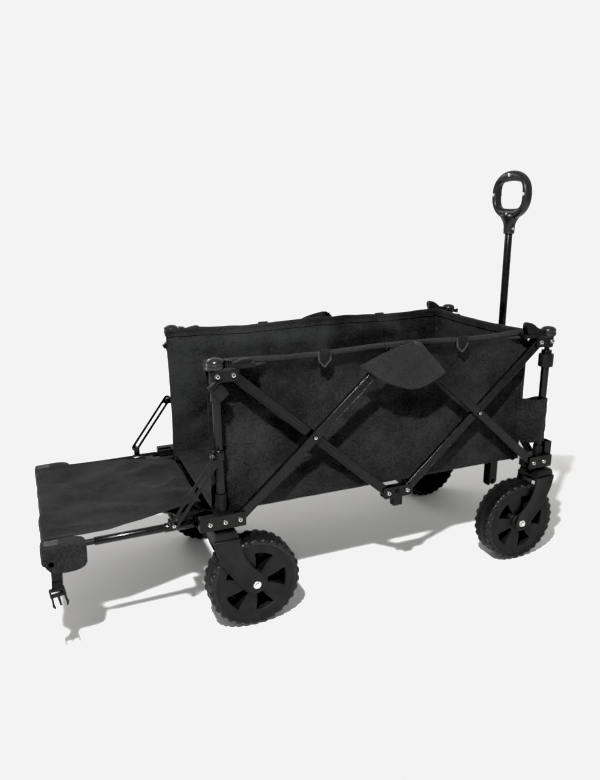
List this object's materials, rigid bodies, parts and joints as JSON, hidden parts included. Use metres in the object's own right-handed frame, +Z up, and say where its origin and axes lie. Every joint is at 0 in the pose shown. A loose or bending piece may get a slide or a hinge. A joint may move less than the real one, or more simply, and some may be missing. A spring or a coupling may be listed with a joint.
{
  "type": "folding wagon",
  "caption": "Folding camp wagon: telescoping corner posts and crossed bars carry a cloth basket with a drop-down tailgate, swivelling front wheels and a telescoping pull handle.",
  "frame": {"origin": "on the ground, under the centre of the bounding box with the tailgate down", "axes": "+X forward to the pulling handle, +Y to the wagon's left, +Z up"},
  "size_m": [1.201, 0.482, 0.942],
  "materials": {
    "black_steel": "satin",
    "black_plastic": "satin",
    "wheel_plastic": "satin",
    "grip_plastic": "matte",
    "black_cloth": "matte",
    "black_webbing": "matte",
    "black_wire": "gloss"
  },
  "bodies": {
    "front_right_base": {"front_right_foot": "black_plastic", "front_right_post_tube": "black_steel"},
    "front_right_top": {"front_right_post_top": "black_plastic", "basket_front_wall": "black_cloth"},
    "right_outer_bar_front": {"right_outer_bar_front": "black_steel"},
    "right_inner_bar_front": {"right_inner_bar_front": "black_steel"},
    "front_right_wheel": {"front_right_wheel": "wheel_plastic"},
    "front_right_ring": {"front_right_lashing_ring": "black_wire"},
    "front_left_base": {"front_left_foot": "black_plastic", "front_left_post_tube": "black_steel"},
    "front_left_top": {"front_left_post_top": "black_plastic"},
    "left_outer_bar_front": {"left_outer_bar_front": "black_steel"},
    "left_inner_bar_front": {"left_inner_bar_front": "black_steel"},
    "front_left_wheel": {"front_left_wheel": "wheel_plastic"},
    "front_left_ring": {"front_left_lashing_ring": "black_wire"},
    "rear_right_base": {"rear_right_foot": "black_plastic", "rear_right_post_tube": "black_steel", "rear_right_fork": "black_plastic"},
    "rear_right_top": {"rear_right_post_top": "black_plastic", "basket_right_wall": "black_cloth"},
    "right_outer_bar_rear": {"right_outer_bar_rear": "black_steel"},
    "right_inner_bar_rear": {"right_inner_bar_rear": "black_steel"},
    "rear_right_wheel": {"rear_right_wheel": "wheel_plastic"},
    "rear_right_ring": {"rear_right_lashing_ring": "black_wire"},
    "rear_left_base": {"rear_left_foot": "black_plastic", "rear_left_post_tube": "black_steel", "rear_left_fork": "black_plastic"},
    "rear_left_top": {"rear_left_post_top": "black_plastic", "basket_left_wall": "black_cloth"},
    "left_outer_bar_rear": {"left_outer_bar_rear": "black_steel"},
    "left_inner_bar_rear": {"left_inner_bar_rear": "black_steel"},
    "rear_left_wheel": {"rear_left_wheel": "wheel_plastic"},
    "rear_left_ring": {"rear_left_lashing_ring": "black_wire"},
    "right_top_hub": {"right_top_hub": "black_plastic"},
    "right_lower_hub": {"right_lower_hub": "black_plastic"},
    "front_right_caster": {"front_right_fork": "black_plastic"},
    "right_floor": {"basket_right_floor": "black_cloth"},
    "right_gate_tube": {"right_gate_tube": "black_steel"},
    "right_gate_corner": {"right_gate_corner": "black_plastic", "tailgate_panel": "black_cloth"},
    "right_gate_link": {"right_gate_link": "black_steel"},
    "right_gate_strap": {"right_gate_strap": "black_webbing"},
    "left_top_hub": {"left_top_hub": "black_plastic"},
    "left_lower_hub": {"left_lower_hub": "black_plastic"},
    "front_left_caster": {"front_left_fork": "black_plastic"},
    "left_floor": {"basket_left_floor": "black_cloth"},
    "left_gate_tube": {"left_gate_tube": "black_steel"},
    "left_gate_corner": {"left_gate_corner": "black_plastic"},
    "left_gate_link": {"left_gate_link": "black_steel"},
    "left_gate_strap": {"left_gate_strap": "black_webbing"},
    "front_bar_lead": {"front_bar_lead": "black_steel"},
    "front_bar_back": {"front_bar_back": "black_steel"},
    "gate_bar_lower": {"gate_bar_lower": "black_steel"},
    "gate_bar_upper": {"gate_bar_upper": "black_steel"},
    "handle_carrier": {"handle_carrier": "black_steel"},
    "handle_lower": {"handle_lower_tube": "black_steel"},
    "handle_upper": {"handle_pole": "black_steel", "handle_grip": "grip_plastic"},
    "handle_button": {"handle_button": "black_plastic"}
  },
  "joints": [
    {"name": "fold", "type": "hinge", "parent": "front_right_base", "child": "right_outer_bar_front", "pos_m": [0.52526, -0.202, 0.251], "axis": [0, 1, 0], "range_deg": [0, 33], "deforming": ["basket_right_wall", "basket_left_wall", "basket_front_wall", "basket_right_floor", "basket_left_floor", "tailgate_panel"]},
    {"name": "right_top_hub_front_pivot", "type": "hinge", "parent": "right_outer_bar_front", "child": "right_top_hub", "pos_m": [0.1755, -0.202, 0.56044], "axis": [0, 1, 0], "range_deg": [-33, 0]},
    {"name": "right_top_hub_rear_pivot", "type": "hinge", "parent": "right_top_hub", "child": "right_outer_bar_rear", "pos_m": [0.1275, -0.202, 0.56044], "axis": [0, 1, 0], "range_deg": [-33, 0]},
    {"name": "right_rear_foot_pivot", "type": "hinge", "parent": "right_outer_bar_rear", "child": "rear_right_base", "pos_m": [-0.22226, -0.202, 0.251], "axis": [0, 1, 0], "range_deg": [0, 33]},
    {"name": "right_front_cross_pivot", "type": "hinge", "parent": "right_outer_bar_front", "child": "right_inner_bar_front", "pos_m": [0.35675, -0.202, 0.40009], "axis": [0, 1, 0], "range_deg": [-66, 0]},
    {"name": "right_rear_cross_pivot", "type": "hinge", "parent": "right_outer_bar_rear", "child": "right_inner_bar_rear", "pos_m": [-0.05375, -0.202, 0.40009], "axis": [0, 1, 0], "range_deg": [0, 66]},
    {"name": "right_rear_top_pivot", "type": "hinge", "parent": "right_inner_bar_rear", "child": "rear_right_top", "pos_m": [-0.22226, -0.202, 0.54918], "axis": [0, 1, 0], "range_deg": [-33, 0]},
    {"name": "right_lower_hub_pivot", "type": "hinge", "parent": "right_inner_bar_rear", "child": "right_lower_hub", "pos_m": [0.1275, -0.202, 0.23974], "axis": [0, 1, 0], "range_deg": [-33, 0]},
    {"name": "right_floor_fold", "type": "hinge", "parent": "rear_right_top", "child": "right_floor", "pos_m": [0.1515, -0.1805, 0.2535], "axis": [1, 0, 0], "range_deg": [0, 67.5]},
    {"name": "left_front_foot_pivot", "type": "hinge", "parent": "front_left_base", "child": "left_outer_bar_front", "pos_m": [0.52526, 0.202, 0.251], "axis": [0, 1, 0], "range_deg": [0, 33]},
    {"name": "left_top_hub_front_pivot", "type": "hinge", "parent": "left_outer_bar_front", "child": "left_top_hub", "pos_m": [0.1755, 0.202, 0.56044], "axis": [0, 1, 0], "range_deg": [-33, 0]},
    {"name": "left_top_hub_rear_pivot", "type": "hinge", "parent": "left_top_hub", "child": "left_outer_bar_rear", "pos_m": [0.1275, 0.202, 0.56044], "axis": [0, 1, 0], "range_deg": [-33, 0]},
    {"name": "left_rear_foot_pivot", "type": "hinge", "parent": "left_outer_bar_rear", "child": "rear_left_base", "pos_m": [-0.22226, 0.202, 0.251], "axis": [0, 1, 0], "range_deg": [0, 33]},
    {"name": "left_front_cross_pivot", "type": "hinge", "parent": "left_outer_bar_front", "child": "left_inner_bar_front", "pos_m": [0.35675, 0.202, 0.40009], "axis": [0, 1, 0], "range_deg": [-66, 0]},
    {"name": "left_rear_cross_pivot", "type": "hinge", "parent": "left_outer_bar_rear", "child": "left_inner_bar_rear", "pos_m": [-0.05375, 0.202, 0.40009], "axis": [0, 1, 0], "range_deg": [0, 66]},
    {"name": "left_rear_top_pivot", "type": "hinge", "parent": "left_inner_bar_rear", "child": "rear_left_top", "pos_m": [-0.22226, 0.202, 0.54918], "axis": [0, 1, 0], "range_deg": [-33, 0]},
    {"name": "left_lower_hub_pivot", "type": "hinge", "parent": "left_inner_bar_rear", "child": "left_lower_hub", "pos_m": [0.1275, 0.202, 0.23974], "axis": [0, 1, 0], "range_deg": [-33, 0]},
    {"name": "left_floor_fold", "type": "hinge", "parent": "rear_left_top", "child": "left_floor", "pos_m": [0.1515, 0.1805, 0.2535], "axis": [1, 0, 0], "range_deg": [-67.5, 0]},
    {"name": "right_front_top_pivot", "type": "hinge", "parent": "right_inner_bar_front", "child": "front_right_top", "pos_m": [0.52526, -0.202, 0.54918], "axis": [0, 1, 0], "range_deg": [0, 33]},
    {"name": "front_bar_foot_pivot", "type": "hinge", "parent": "front_right_base", "child": "front_bar_lead", "pos_m": [0.56625, -0.16851, 0.251], "axis": [1, 0, 0], "range_deg": [0, 33]},
    {"name": "front_bar_cross_pivot", "type": "hinge", "parent": "front_bar_lead", "child": "front_bar_back", "pos_m": [0.55675, 0, 0.40009], "axis": [1, 0, 0], "range_deg": [-66, 0]},
    {"name": "front_left_foot_pivot", "type": "hinge", "parent": "front_bar_back", "child": "front_left_base", "pos_m": [0.55675, 0.16851, 0.251], "axis": [1, 0, 0], "range_deg": [0, 33]},
    {"name": "front_left_top_pivot", "type": "hinge", "parent": "front_bar_lead", "child": "front_left_top", "pos_m": [0.56625, 0.16851, 0.54918], "axis": [1, 0, 0], "range_deg": [-33, 0]},
    {"name": "handle_carrier_pivot", "type": "hinge", "parent": "front_bar_lead", "child": "handle_carrier", "pos_m": [0.5725, 0, 0.40009], "axis": [1, 0, 0], "range_deg": [-33, 0]},
    {"name": "tailgate_lift", "type": "hinge", "parent": "rear_right_base", "child": "right_gate_tube", "pos_m": [-0.2845, -0.202, 0.251], "axis": [0, 1, 0], "range_deg": [0, 90]},
    {"name": "left_gate_hinge", "type": "hinge", "parent": "rear_left_base", "child": "left_gate_tube", "pos_m": [-0.2845, 0.202, 0.251], "axis": [0, 1, 0], "range_deg": [0, 90]},
    {"name": "gate_lower_bar_pivot", "type": "hinge", "parent": "right_gate_tube", "child": "gate_bar_lower", "pos_m": [-0.2845, -0.16851, 0.239], "axis": [0, 0, 1], "range_deg": [0, 33]},
    {"name": "gate_left_corner_pivot", "type": "hinge", "parent": "gate_bar_lower", "child": "left_gate_corner", "pos_m": [-0.58268, 0.16851, 0.239], "axis": [0, 0, 1], "range_deg": [-33, 0]},
    {"name": "gate_upper_bar_pivot", "type": "hinge", "parent": "left_gate_tube", "child": "gate_bar_upper", "pos_m": [-0.2845, 0.16851, 0.247], "axis": [0, 0, 1], "range_deg": [-33, 0]},
    {"name": "gate_right_corner_pivot", "type": "hinge", "parent": "gate_bar_upper", "child": "right_gate_corner", "pos_m": [-0.58268, -0.16851, 0.247], "axis": [0, 0, 1], "range_deg": [0, 33]},
    {"name": "right_gate_link_pivot", "type": "hinge", "parent": "rear_right_base", "child": "right_gate_link", "pos_m": [-0.2685, -0.233, 0.388], "axis": [0, 1, 0], "range_deg": [-37.5, 0]},
    {"name": "right_strap_swing", "type": "hinge", "parent": "right_gate_corner", "child": "right_gate_strap", "pos_m": [-0.5835, -0.2195, 0.23], "axis": [0, 1, 0], "range_deg": [-90, 0]},
    {"name": "left_gate_link_pivot", "type": "hinge", "parent": "rear_left_base", "child": "left_gate_link", "pos_m": [-0.2685, 0.233, 0.388], "axis": [0, 1, 0], "range_deg": [-37.5, 0]},
    {"name": "left_strap_swing", "type": "hinge", "parent": "left_gate_corner", "child": "left_gate_strap", "pos_m": [-0.5835, 0.2195, 0.23], "axis": [0, 1, 0], "range_deg": [-90, 0]},
    {"name": "handle_tilt", "type": "hinge", "parent": "handle_carrier", "child": "handle_lower", "pos_m": [0.5865, 0, 0.108], "axis": [0, 1, 0], "range_deg": [0, 90]},
    {"name": "handle_length", "type": "slide", "parent": "handle_lower", "child": "handle_upper", "axis": [0, 0, 1], "range_m": [-0.25, 0]},
    {"name": "handle_button_press", "type": "slide", "parent": "handle_lower", "child": "handle_button", "axis": [0, 1, 0], "range_m": [0, 0.0025], "stiffness_N_per_m": 600},
    {"name": "right_caster_swivel", "type": "hinge", "parent": "front_right_base", "child": "front_right_caster", "pos_m": [0.55646, -0.202, 0.23], "axis": [0, 0, 1], "continuous": true},
    {"name": "front_right_wheel_spin", "type": "hinge", "parent": "front_right_caster", "child": "front_right_wheel", "pos_m": [0.49646, -0.204, 0.1], "axis": [0, 1, 0], "continuous": true},
    {"name": "rear_right_wheel_spin", "type": "hinge", "parent": "rear_right_base", "child": "rear_right_wheel", "pos_m": [-0.19346, -0.204, 0.1], "axis": [0, 1, 0], "continuous": true},
    {"name": "front_right_ring_swing", "type": "hinge", "parent": "front_right_top", "child": "front_right_ring", "pos_m": [0.3215, -0.19, 0.571], "axis": [-1, 0, 0], "range_deg": [0, 75]},
    {"name": "rear_right_ring_swing", "type": "hinge", "parent": "rear_right_top", "child": "rear_right_ring", "pos_m": [-0.0185, -0.19, 0.571], "axis": [-1, 0, 0], "range_deg": [0, 75]},
    {"name": "left_caster_swivel", "type": "hinge", "parent": "front_left_base", "child": "front_left_caster", "pos_m": [0.55646, 0.202, 0.23], "axis": [0, 0, 1], "continuous": true},
    {"name": "front_left_wheel_spin", "type": "hinge", "parent": "front_left_caster", "child": "front_left_wheel", "pos_m": [0.49646, 0.204, 0.1], "axis": [0, 1, 0], "continuous": true},
    {"name": "rear_left_wheel_spin", "type": "hinge", "parent": "rear_left_base", "child": "rear_left_wheel", "pos_m": [-0.19346, 0.204, 0.1], "axis": [0, 1, 0], "continuous": true},
    {"name": "front_left_ring_swing", "type": "hinge", "parent": "front_left_top", "child": "front_left_ring", "pos_m": [0.3215, 0.19, 0.571], "axis": [1, 0, 0], "range_deg": [0, 75]},
    {"name": "rear_left_ring_swing", "type": "hinge", "parent": "rear_left_top", "child": "rear_left_ring", "pos_m": [-0.0185, 0.19, 0.571], "axis": [1, 0, 0], "range_deg": [0, 75]}
  ],
  "couplings": [
    {"joint": "right_top_hub_front_pivot", "follows": "fold", "ratio": -1},
    {"joint": "right_top_hub_rear_pivot", "follows": "fold", "ratio": -1},
    {"joint": "right_rear_foot_pivot", "follows": "fold", "ratio": 1},
    {"joint": "right_front_cross_pivot", "follows": "fold", "ratio": -2},
    {"joint": "right_rear_cross_pivot", "follows": "fold", "ratio": 2},
    {"joint": "right_rear_top_pivot", "follows": "fold", "ratio": -1},
    {"joint": "right_lower_hub_pivot", "follows": "fold", "ratio": -1},
    {"joint": "right_floor_fold", "follows": "fold", "ratio": 2.0455},
    {"joint": "left_front_foot_pivot", "follows": "fold", "ratio": 1},
    {"joint": "left_top_hub_front_pivot", "follows": "fold", "ratio": -1},
    {"joint": "left_top_hub_rear_pivot", "follows": "fold", "ratio": -1},
    {"joint": "left_rear_foot_pivot", "follows": "fold", "ratio": 1},
    {"joint": "left_front_cross_pivot", "follows": "fold", "ratio": -2},
    {"joint": "left_rear_cross_pivot", "follows": "fold", "ratio": 2},
    {"joint": "left_rear_top_pivot", "follows": "fold", "ratio": -1},
    {"joint": "left_lower_hub_pivot", "follows": "fold", "ratio": -1},
    {"joint": "left_floor_fold", "follows": "fold", "ratio": -2.0455},
    {"joint": "right_front_top_pivot", "follows": "fold", "ratio": 1},
    {"joint": "front_bar_foot_pivot", "follows": "fold", "ratio": 1},
    {"joint": "front_bar_cross_pivot", "follows": "fold", "ratio": -2},
    {"joint": "front_left_foot_pivot", "follows": "fold", "ratio": 1},
    {"joint": "front_left_top_pivot", "follows": "fold", "ratio": -1},
    {"joint": "handle_carrier_pivot", "follows": "fold", "ratio": -1},
    {"joint": "left_gate_hinge", "follows": "tailgate_lift", "ratio": 1},
    {"joint": "gate_lower_bar_pivot", "follows": "fold", "ratio": 1},
    {"joint": "gate_left_corner_pivot", "follows": "fold", "ratio": -1},
    {"joint": "gate_upper_bar_pivot", "follows": "fold", "ratio": -1},
    {"joint": "gate_right_corner_pivot", "follows": "fold", "ratio": 1},
    {"joint": "right_gate_link_pivot", "follows": "tailgate_lift", "ratio": -0.41667},
    {"joint": "right_strap_swing", "follows": "tailgate_lift", "ratio": -1},
    {"joint": "left_gate_link_pivot", "follows": "tailgate_lift", "ratio": -0.41667},
    {"joint": "left_strap_swing", "follows": "tailgate_lift", "ratio": -1}
  ]
}
